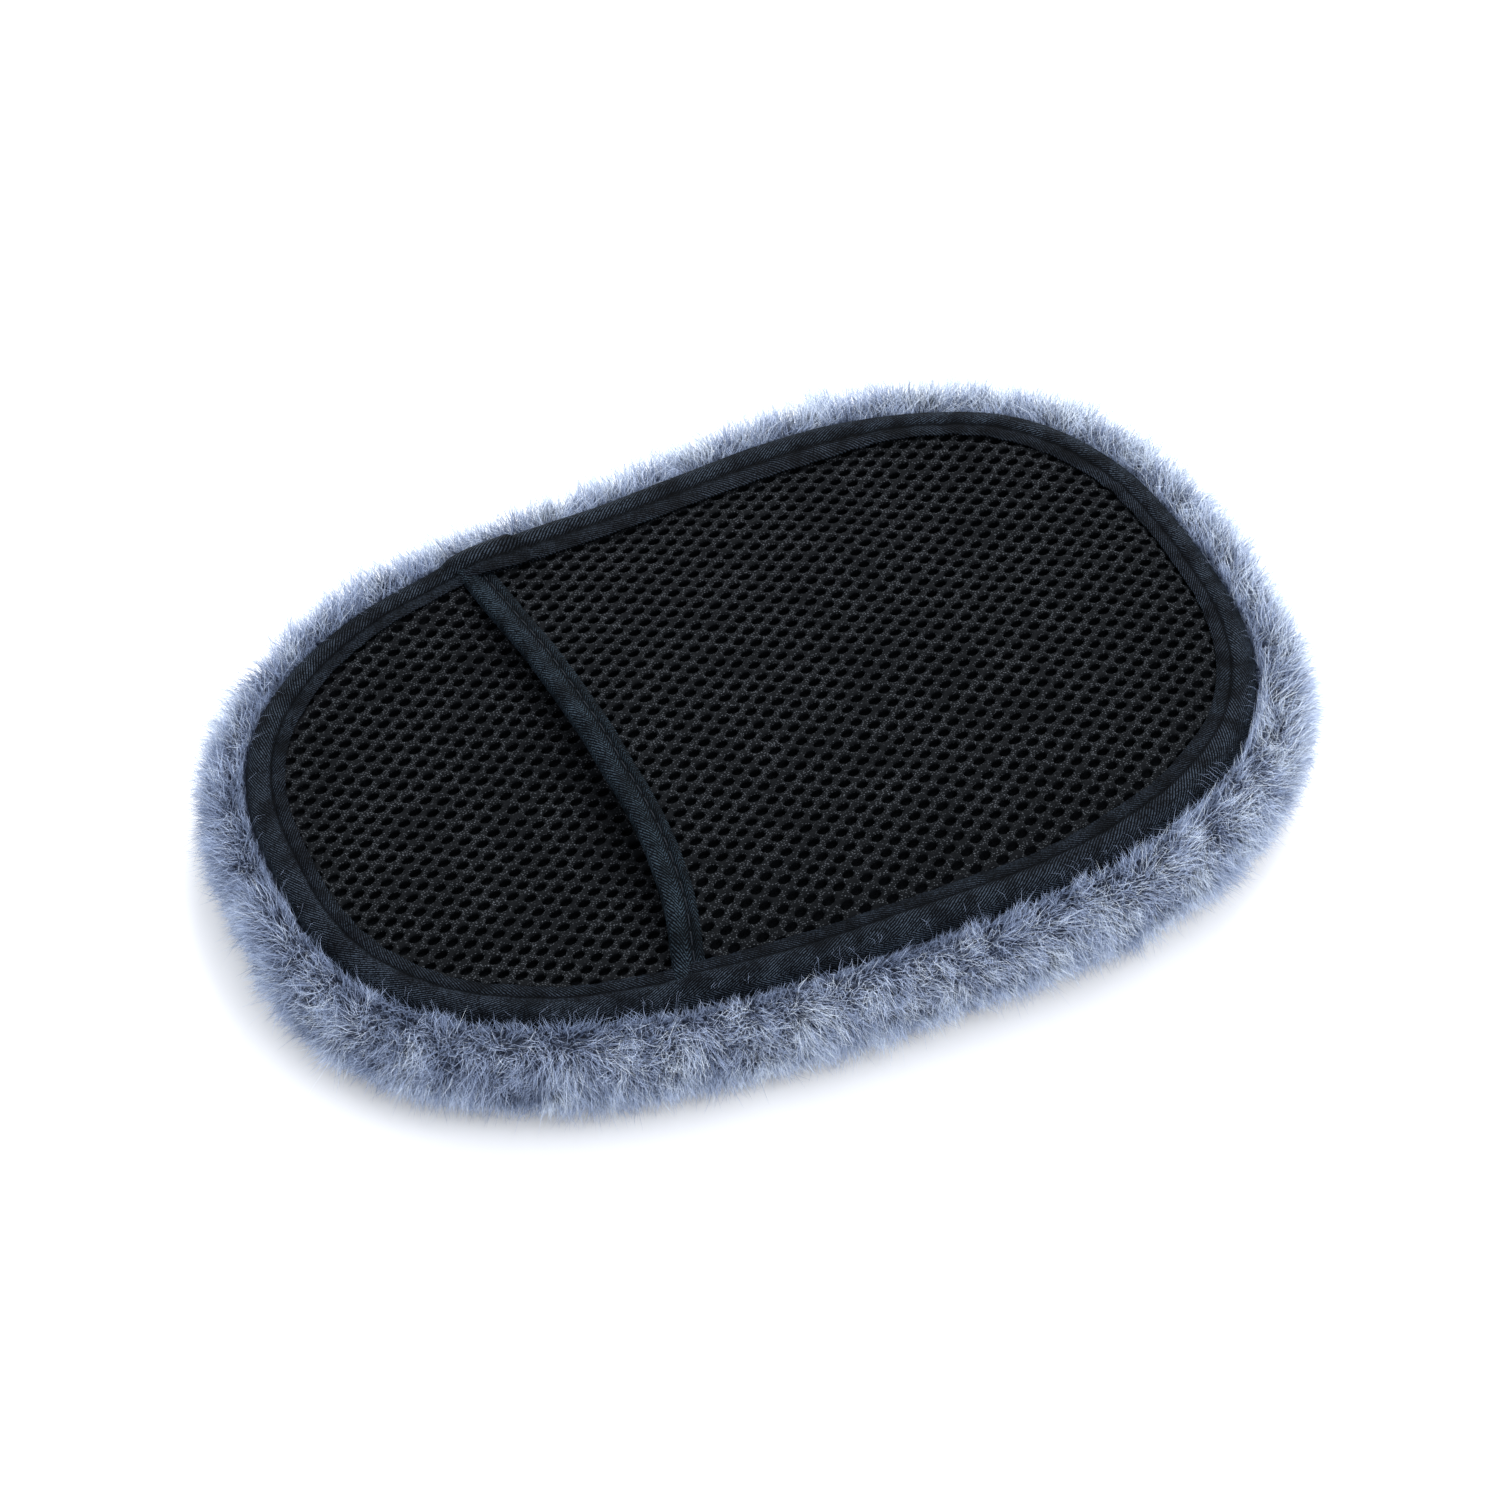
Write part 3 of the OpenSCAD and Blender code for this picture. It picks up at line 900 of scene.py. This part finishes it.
def makeCore():
    bm = bmesh.new()
    bmesh.ops.create_circle(bm, segments=fleece["sides"], radius=1, cap_ends=True)
    edges, fresh = list(bm.edges), list(bm.verts)
    angles = np.arange(fleece["sides"]) * 2 * math.pi / fleece["sides"]
    order = {}
    for level, (inset, height) in enumerate(fleece["profile"]):
        if level:
            made = bmesh.ops.extrude_edge_only(bm, edges=edges)["geom"]
            fresh = vertsOf(made)
            edges = edgesOf(made, fresh)
            # a new vertex still lies on the one that it came from
            angles = [angleOf[v.co.to_tuple(7)] for v in fresh]
        angleOf = {}
        for v, angle in zip(fresh, angles):
            x, y = outline(np.array(angle), inset * mm)
            x, y = outline(np.array(angle), inset * mm - bulge(x, y) * float(smooth(4, -4, inset)))
            v.co = (float(x), float(y), height * mm)
            angleOf[v.co.to_tuple(7)] = angle
            order[v] = level * 10 + float(angle)
    bmesh.ops.contextual_create(bm, geom=edges)
    bmesh.ops.recalc_face_normals(bm, faces=bm.faces)
    # one order each run, because the fibres are scattered face by face
    bm.verts.sort(key=lambda v: order[v])
    bm.verts.index_update()
    bm.faces.sort(key=lambda f: min(v.index for v in f.verts) * len(order)
                  + max(v.index for v in f.verts))
    return fromBmesh("woolCore", bm)


core = makeCore()
core.data.materials.append(finish["core"])
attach(core, "pad")
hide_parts("wool_pile")


def fibre():
    # one thin tapering fibre, a three-sided cone along z
    bm = bmesh.new()
    bmesh.ops.create_cone(bm, segments=3, radius1=1, radius2=0, depth=1, cap_ends=True)
    bmesh.ops.translate(bm, vec=(0, 0, 0.5), verts=bm.verts)
    bmesh.ops.remove_doubles(bm, verts=bm.verts, dist=1e-5)
    tall = [e for e in bm.edges if abs(e.verts[0].co.z - e.verts[1].co.z) > 0.5]
    bmesh.ops.subdivide_edges(bm, edges=tall, cuts=1)
    bmesh.ops.recalc_face_normals(bm, faces=bm.faces)
    return fromBmesh("fibre", bm)


def scatter(piece, onto, density, seed):
    # a copy of piece standing at each of many points of onto, all as one mesh
    tree = bpy.data.node_groups.new("scatter", "GeometryNodeTree")
    tree.interface.new_socket("Geometry", in_out="INPUT", socket_type="NodeSocketGeometry")
    tree.interface.new_socket("Geometry", in_out="OUTPUT", socket_type="NodeSocketGeometry")
    start, end = tree.nodes.new("NodeGroupInput"), tree.nodes.new("NodeGroupOutput")
    cover = tree.nodes.new("GeometryNodeInputNamedAttribute")
    spots = tree.nodes.new("GeometryNodeDistributePointsOnFaces")
    info = tree.nodes.new("GeometryNodeObjectInfo")
    place = tree.nodes.new("GeometryNodeInstanceOnPoints")
    real = tree.nodes.new("GeometryNodeRealizeInstances")
    cover.inputs["Name"].default_value = "cover"
    info.inputs["Object"].default_value = piece
    info.inputs["As Instance"].default_value = True
    spots.inputs["Seed"].default_value = seed
    scaled = tree.nodes.new("ShaderNodeMath")
    scaled.operation = "MULTIPLY"
    scaled.inputs[1].default_value = density
    for a, b in ((start.outputs[0], spots.inputs["Mesh"]),
                 (cover.outputs["Attribute"], scaled.inputs[0]),
                 (scaled.outputs[0], spots.inputs["Density"]),
                 (spots.outputs["Points"], place.inputs["Points"]),
                 (spots.outputs["Rotation"], place.inputs["Rotation"]),
                 (info.outputs["Geometry"], place.inputs["Instance"]),
                 (place.outputs[0], real.inputs[0]),
                 (real.outputs[0], end.inputs[0])):
        tree.links.new(a, b)
    field = newObject("woolFibres", onto.data.copy())
    field.modifiers.new("scatter", "NODES").node_group = tree
    return applied(field)


def unit(v):
    return v / np.maximum(np.linalg.norm(v, axis=-1, keepdims=True), 1e-9)


def combed(seed, wavelength, place, normal):
    # a smooth lean over the surface, with no part along the normal
    lean = np.stack([ripple(seed + k, wavelength, *place.T) for k in range(3)], 1)
    return lean - normal * (lean * normal).sum(1, keepdims=True)


def chiefs(place, every):
    # for each fibre the one that leads its clump
    leader = np.arange(0, len(place), every)
    tree = KDTree(len(leader))
    for k, i in enumerate(leader):
        tree.insert(place[i], k)
    tree.balance()
    return leader[np.array([tree.find(p)[1] for p in place])]


def clearOfBinding(line, rng):
    # off the ground, and out of the binding's space by an uneven gap
    z = line[..., 2]
    ground = fleece["ground"]
    line[..., 2] = np.where(z > ground, z, ground * np.exp(np.minimum(z - ground, 0) / ground) + 0.1 * mm)
    flat = line.reshape(-1, 3)
    inward = insetOf(flat[:, 0], flat[:, 1])
    gap = rng.uniform(*fleece["gap"], size=len(flat)) * mm
    close = smooth(22.5 * mm, 24.5 * mm, flat[:, 2]) * np.maximum(inward + gap, 0)
    power = pad["power"] - 1
    half = np.array([pad["length"], pad["width"]])
    away = unit(np.sign(flat[:, :2]) * np.abs(flat[:, :2] / half) ** power / half)
    flat[:, :2] += away * close[:, None]
    return flat.reshape(line.shape)


def overBinding(root, rng):
    # stray hairs that lie over the binding's fold
    power = pad["power"] / 2
    x, y = root[:, 0], root[:, 1]
    angle = np.arctan2(np.sign(y) * np.abs(y / pad["width"]) ** power,
                       np.sign(x) * np.abs(x / pad["length"]) ** power)
    steps = [root]
    reach = rng.uniform(0.3, 1.3, size=len(root))
    for inset, above in fleece["strayPath"]:
        angle = angle + rng.normal(size=len(root)) * 0.013
        x, y = outline(angle, inset * mm * reach)
        steps.append(np.stack([x, y, rimHeights(x, y)[0] + binding["seat"] + above * mm], 1))
    return np.stack(steps, 1)


def makeFibres():
    mesh = core.data
    heights = points(mesh)[:, 2]
    inward = insetOf(*points(mesh)[:, :2].T)
    cover = np.where(inward > 5 * mm, fleece["underCover"], 1.0)
    cover[heights > 25 * mm] = np.where(inward > 1 * mm, 0.0, fleece["topCover"])[heights > 25 * mm]
    mesh.attributes.new("cover", "FLOAT", "POINT").data.foreach_set("value", cover)
    one = fibre()
    each = points(one.data)
    perFibre = len(each)
    cornerOf = np.empty(len(one.data.loops), dtype=np.int32)
    one.data.loops.foreach_get("vertex_index", cornerOf)
    field = scatter(one, core, fleece["perSquareMm"] * 1e6, fleece["seed"])
    bpy.data.objects.remove(one)
    co = points(field.data).reshape(-1, perFibre, 3)
    count = len(co)
    rng = np.random.default_rng(fleece["seed"])
    root = co[:, np.argsort(each[:, 2])[:3]].mean(1)
    normal = unit(co[:, each[:, 2].argmax()] - root)
    level = each[:, 2]
    levels, ring = np.unique(level.round(4), return_inverse=True)
    turn = np.arctan2(each[:, 1], each[:, 0])

    shoulder = smooth(18 * mm, 24 * mm, root[:, 2:])
    beside = smooth(-4 * mm, -1.2 * mm, insetOf(root[:, 0], root[:, 1]))[:, None] * shoulder
    fluffAndBacklight = 1 + fleece["fluffAndBacklight"] * (np.clip(root[:, :1] / pad["length"], 0, 1) ** 2
                                   + np.clip(root[:, 1:2] / pad["width"], 0, 1) ** 2) * shoulder
    lean = 0.2 * combed(61, 30 * mm, root, normal) + 0.24 * combed(64, 8 * mm, root, normal)
    splay = fleece["splay"] * np.clip(rng.normal(size=(count, 3)), -2, 2)
    way = unit(normal + [0, 0, 0.5] * beside + lean + splay)
    curl = combed(67, 10 * mm, root, normal) * 0.4
    curl = curl + fleece["curl"] * np.clip(rng.normal(size=(count, 3)), -2, 2)
    curl[:, 2:] -= 0.15 * (1 - shoulder)
    length = fleece["length"] * (1 + 0.17 * np.clip(rng.normal(size=(count, 1)), -2.2, 2.2)) * (
        1 + 0.13 * ripple(70, 12 * mm, *root.T)[:, None] + 0.16 * ripple(71, 30 * mm, *root.T)[:, None]
        + fleece["shoulder"] * shoulder) * fluffAndBacklight * (1 - 0.4 * beside)
    length = length * (0.78 + 0.22 * smooth(5 * mm, 14 * mm, root[:, 2:]))
    line = np.stack([root + length * (way * t + curl * 0.5 * t * t) for t in levels], 1)
    line = line + fleece["crimp"] * levels[None, :, None] ** 0.5 * np.clip(rng.normal(size=line.shape), -2, 2)
    # painted light and shade: lighter on the far side and at the closed end, where the fleece is fluffed up,
    # as painted back light; darker low down, at the mouth end and beside the binding, as painted shade
    tone = 0.54 + 0.2 * ripple(72, 10 * mm, *root.T) + 0.24 * rng.normal(size=count)
    tone = tone + 0.4 * (fluffAndBacklight[:, 0] - 1)
    tone = tone - 0.22 * (1 - smooth(3 * mm, 15 * mm, root[:, 2]))
    tone = tone - 0.24 * smooth(-40 * mm, -110 * mm, root[:, 0])
    tone = tone - 0.5 * beside[:, 0]
    for every, gather in fleece["clumps"]:
        chief = chiefs(root, every)
        share = (levels ** 1.5)[None, :, None] * gather * (0.7 + 0.6 * rng.random((count, 1, 1)))
        line = line + (line[chief] - line) * share
        tone = tone + 0.12 * rng.normal(size=count)[chief]
    line = clearOfBinding(line, rng)
    line -= 0.75 * np.sign(line) * np.maximum(np.abs(line) - fleece["reach"], 0)
    stray = rng.choice(np.flatnonzero(root[:, 2] > 24.8 * mm), fleece["strays"], replace=False)
    line[stray] = overBinding(root[stray], rng)

    tangent = unit(np.gradient(line, axis=1))
    across = unit(np.cross(tangent, rng.normal(size=(count, 1, 3))))
    other = np.cross(tangent, across)
    thick = fleece["radius"] * (1 - fleece["taper"] * levels ** 1.5) * (levels < 0.99)
    girth = 0.7 + 0.6 * rng.random((count, 1, 1))
    girth[stray] *= fleece["strayGirth"]
    ringThick = thick[ring][None, :, None] * girth
    made = line[:, ring] + ringThick * (np.cos(turn)[None, :, None] * across[:, ring]
                                        + np.sin(turn)[None, :, None] * other[:, ring])
    setPoints(field.data, made.reshape(-1, 3))
    tone[stray] = 0.25
    tone = np.clip(tone, 0.03, 0.97)
    # a little width in u, so that no face of the map is a line
    spread = np.broadcast_to(np.sin(turn) * 0.004 * (level < 0.99), (count, perFibre))
    place = np.stack([spread + tone[:, None], np.broadcast_to(level, (count, perFibre))], -1)
    for layer in list(field.data.uv_layers):
        field.data.uv_layers.remove(layer)
    uv = field.data.uv_layers.new(name="OFBake")
    uv.data.foreach_set("uv", place[:, cornerOf].ravel())
    field.data.shade_smooth()
    field.data.materials.clear()
    field.data.materials.append(finish["wool"])
    field.data.calc_loop_triangles()
    print("fibres", count, "triangles", len(field.data.loop_triangles))
    return field


fibres = makeFibres()
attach(fibres, "pad")
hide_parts("wool_pile")
print("wool made")

# camera, light and floor
view = dict(
    place=(-0.2813, -0.6024, 0.7539 + pad["back"] + 1.6 * mm),
    ahead=(0.2759, 0.5922, -0.7571),
    lens=103.9, sensor=36,
    background=1.4,
    # name, place, size and watts of each light
    lights=[("softboxBack", (0.8, 0.9, 1.3), 1.2, 30), ("softboxFront", (0.5, -1.2, 1.6), 1.4, 14)],
)
camera = bpy.data.objects.new("camera", bpy.data.cameras.new("camera"))
camera.data.lens, camera.data.sensor_width = view["lens"], view["sensor"]
camera.data.clip_start, camera.data.clip_end = 0.01, 20
camera.location = view["place"]
camera.rotation_euler = Vector(view["ahead"]).to_track_quat("-Z", "Y").to_euler()
bpy.context.scene.collection.objects.link(camera)
bpy.context.scene.camera = camera

bm = bmesh.new()
bmesh.ops.create_grid(bm, x_segments=2, y_segments=2, size=4)
floor = fromBmesh("floor", bm, False)
material, w, feed = newMaterial("paleFloor", Roughness=0.8, Base_Color=(0.93, 0.93, 0.94, 1))
floor.data.materials.append(material)

world = bpy.data.worlds.new("studio")
bpy.context.scene.world = world
world.use_nodes = True
world.node_tree.nodes["Background"].inputs["Color"].default_value = (0.94, 0.965, 1.0, 1)
world.node_tree.nodes["Background"].inputs["Strength"].default_value = view["background"]
for name, place, size, power in view["lights"]:
    light = bpy.data.objects.new(name, bpy.data.lights.new(name, "AREA"))
    light.data.shape, light.data.size, light.data.energy = "DISK", size, power
    light.location = place
    light.rotation_euler = (-Vector(place)).to_track_quat("-Z", "Y").to_euler()
    bpy.context.scene.collection.objects.link(light)
bpy.context.scene.view_settings.view_transform = "Standard"
